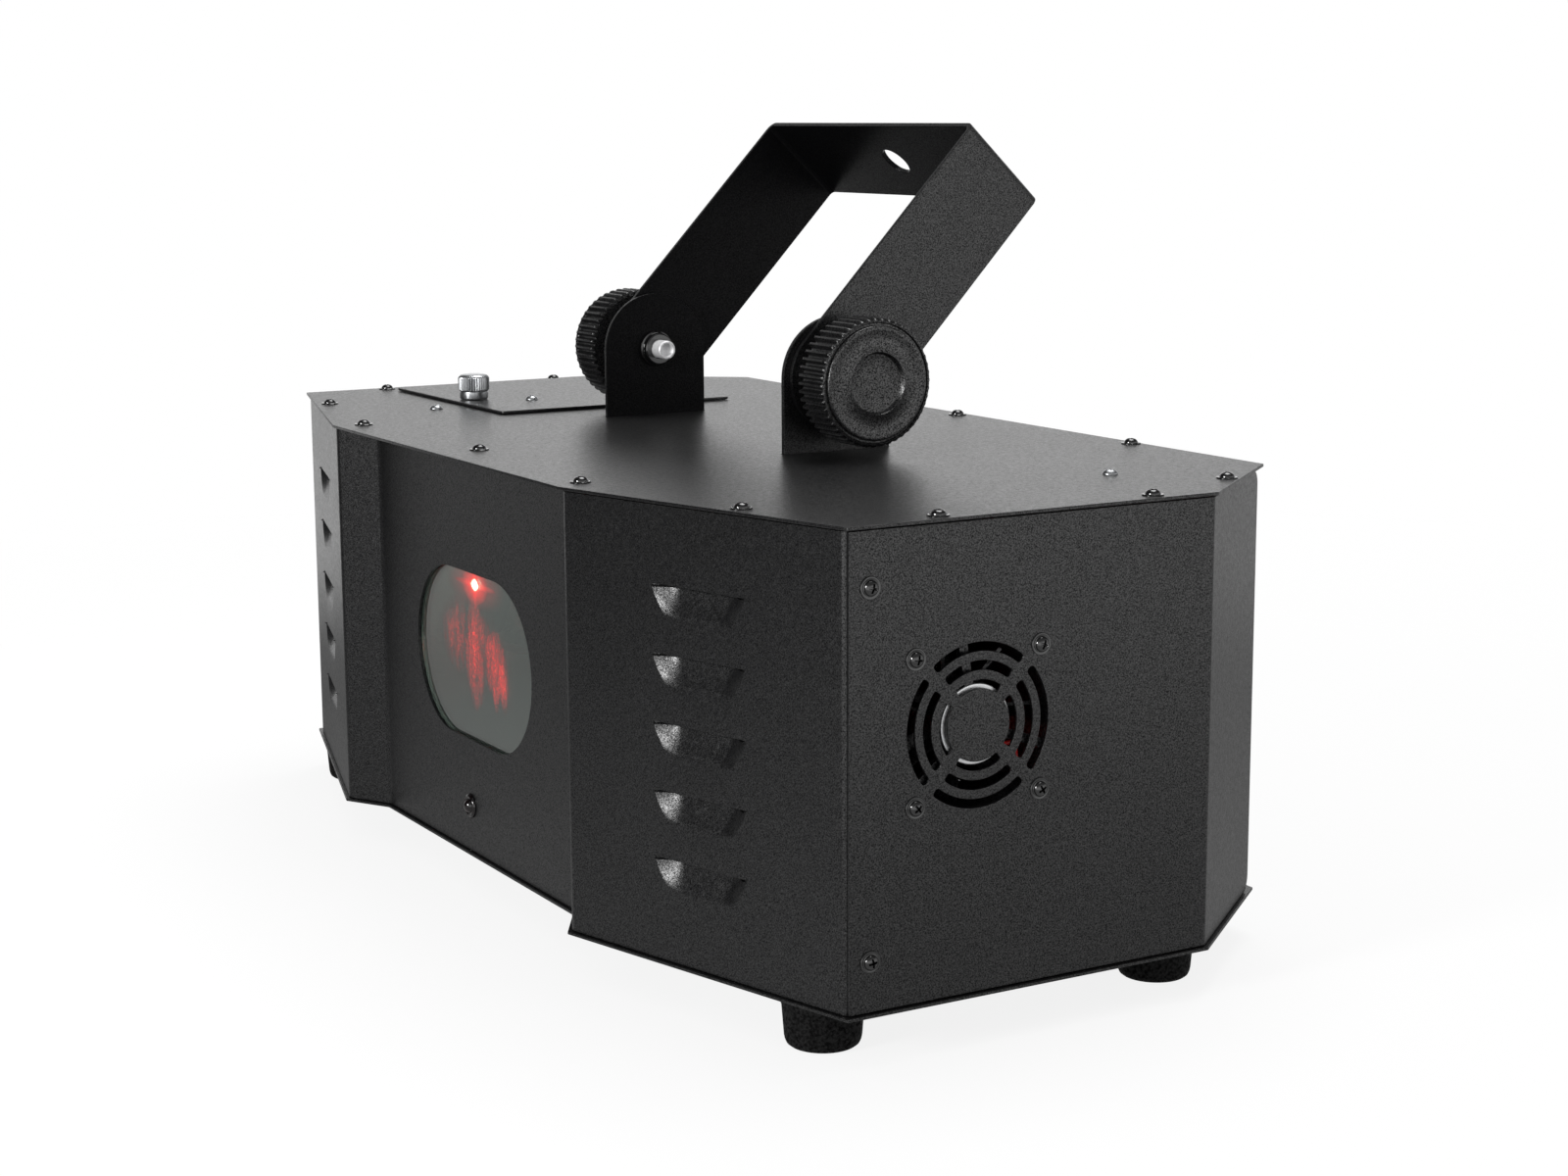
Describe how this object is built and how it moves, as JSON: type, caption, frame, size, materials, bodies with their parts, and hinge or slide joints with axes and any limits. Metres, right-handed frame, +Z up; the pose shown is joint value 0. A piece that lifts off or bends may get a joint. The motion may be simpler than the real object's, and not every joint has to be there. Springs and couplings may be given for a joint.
{
  "type": "gobo flower effect light",
  "caption": "Black sheet-steel effect light with a front window, louvred corners, side fan grille, tilting yoke with ribbed clamp knobs, gobo wheel and rubber feet.",
  "frame": {"origin": "bottom centre of the whole object's box, on the surface that the feet stand on", "axes": "+X to the fan side, +Y to the rear, +Z up"},
  "size_m": [0.4954, 0.2502, 0.3076],
  "materials": {
    "powder_coat": "fine-textured black powder coat on sheet steel",
    "knob_plastic": "moulded black ABS, lightly textured",
    "foot_rubber": "moulded black rubber",
    "zinc_steel": "bright zinc-plated turned steel",
    "black_screw": "glossy blackened steel",
    "window_glass": "grey-green tinted flat glass",
    "lens_glass": "clear ground glass",
    "receiver_lens": "glossy near-black plastic",
    "aluminium": "plain mill-finish aluminium",
    "mirror": "front-silvered facets",
    "circuit_board": "green solder mask",
    "fan_plastic": "black moulded PBT"
  },
  "bodies": {
    "housing": {"base_plate": "powder_coat", "top_cover": "powder_coat", "front_shell": "powder_coat", "side_panel_left": "powder_coat", "side_panel_right": "powder_coat", "rear_panel": "powder_coat", "bracket_left": "powder_coat", "bracket_right": "powder_coat", "projection_barrel": "knob_plastic", "mains_inlet": "knob_plastic", "signal_in_socket": "knob_plastic", "signal_out_socket": "knob_plastic", "foot_front_left": "foot_rubber", "foot_front_right": "foot_rubber", "foot_rear_left": "foot_rubber", "foot_rear_right": "foot_rubber", "lens_gasket": "foot_rubber", "laser_module": "zinc_steel", "clamp_nut_left": "black_screw", "clamp_nut_right": "black_screw", "gobo_motor": "black_screw", "side_screw_left_lower": "black_screw", "side_screw_left_upper": "black_screw", "side_screw_right_lower": "black_screw", "side_screw_right_upper": "black_screw", "fan_screw_1": "black_screw", "fan_screw_2": "black_screw", "fan_screw_3": "black_screw", "fan_screw_4": "black_screw", "lens_glass": "window_glass", "condenser_lens": "lens_glass", "projection_lens": "lens_glass", "infrared_receiver": "receiver_lens", "display_window": "receiver_lens", "optics_tray": "aluminium", "led_heat_sink": "aluminium", "mirror_stand": "aluminium", "flower_mirror": "mirror", "led_module": "circuit_board", "power_supply": "circuit_board", "control_board": "circuit_board", "fan_frame": "fan_plastic"},
    "yoke": {"yoke": "powder_coat"},
    "clamp_knob_left": {"clamp_knob_left": "knob_plastic", "clamp_stud_left": "zinc_steel"},
    "clamp_knob_right": {"clamp_knob_right": "knob_plastic", "clamp_stud_right": "zinc_steel"},
    "hatch": {"hatch_cover": "powder_coat"},
    "hatch_thumbscrew": {"thumbscrew": "zinc_steel"},
    "fan_rotor": {"fan_rotor": "fan_plastic"},
    "gobo_wheel": {"gobo_wheel": "black_screw"},
    "fuse_drawer": {"fuse_drawer": "knob_plastic"},
    "menu_button_1": {"menu_button_1": "knob_plastic"},
    "menu_button_2": {"menu_button_2": "knob_plastic"},
    "menu_button_3": {"menu_button_3": "knob_plastic"},
    "menu_button_4": {"menu_button_4": "knob_plastic"}
  },
  "joints": [
    {"name": "yoke_tilt", "type": "hinge", "parent": "housing", "child": "yoke", "pos_m": [0, 0.0112, 0.2107], "axis": [1, 0, 0], "range_deg": [-46.6, 133.4]},
    {"name": "clamp_knob_left_turn", "type": "hinge", "parent": "housing", "child": "clamp_knob_left", "pos_m": [-0.095, 0.0112, 0.2107], "axis": [1, 0, 0], "range_deg": [0, 720]},
    {"name": "clamp_knob_right_turn", "type": "hinge", "parent": "housing", "child": "clamp_knob_right", "pos_m": [0.095, 0.0112, 0.2107], "axis": [1, 0, 0], "range_deg": [0, 720]},
    {"name": "hatch_hinge", "type": "hinge", "parent": "housing", "child": "hatch", "pos_m": [-0.16975, 0.066, 0.1823], "axis": [-1, 0, 0], "range_deg": [0, 75]},
    {"name": "thumbscrew_turn", "type": "hinge", "parent": "hatch", "child": "hatch_thumbscrew", "pos_m": [-0.162, -0.038, 0.1835], "axis": [0, 0, 1], "range_deg": [0, 1440]},
    {"name": "fan_spin", "type": "hinge", "parent": "housing", "child": "fan_rotor", "pos_m": [0.2315, -0.0355, 0.111], "axis": [1, 0, 0], "continuous": true},
    {"name": "gobo_wheel_spin", "type": "hinge", "parent": "housing", "child": "gobo_wheel", "pos_m": [-0.14, -0.049, 0.0727], "axis": [1, 0, 0], "continuous": true},
    {"name": "fuse_drawer_slide", "type": "slide", "parent": "housing", "child": "fuse_drawer", "axis": [0, 1, 0], "range_m": [0, 0.02]},
    {"name": "menu_button_1_press", "type": "slide", "parent": "housing", "child": "menu_button_1", "axis": [0, -1, 0], "range_m": [0, 0.0008], "stiffness_N_per_m": 600, "springref_m": -0.0008},
    {"name": "menu_button_2_press", "type": "slide", "parent": "housing", "child": "menu_button_2", "axis": [0, -1, 0], "range_m": [0, 0.0008], "stiffness_N_per_m": 600, "springref_m": -0.0008},
    {"name": "menu_button_3_press", "type": "slide", "parent": "housing", "child": "menu_button_3", "axis": [0, -1, 0], "range_m": [0, 0.0008], "stiffness_N_per_m": 600, "springref_m": -0.0008},
    {"name": "menu_button_4_press", "type": "slide", "parent": "housing", "child": "menu_button_4", "axis": [0, -1, 0], "range_m": [0, 0.0008], "stiffness_N_per_m": 600, "springref_m": -0.0008}
  ]
}
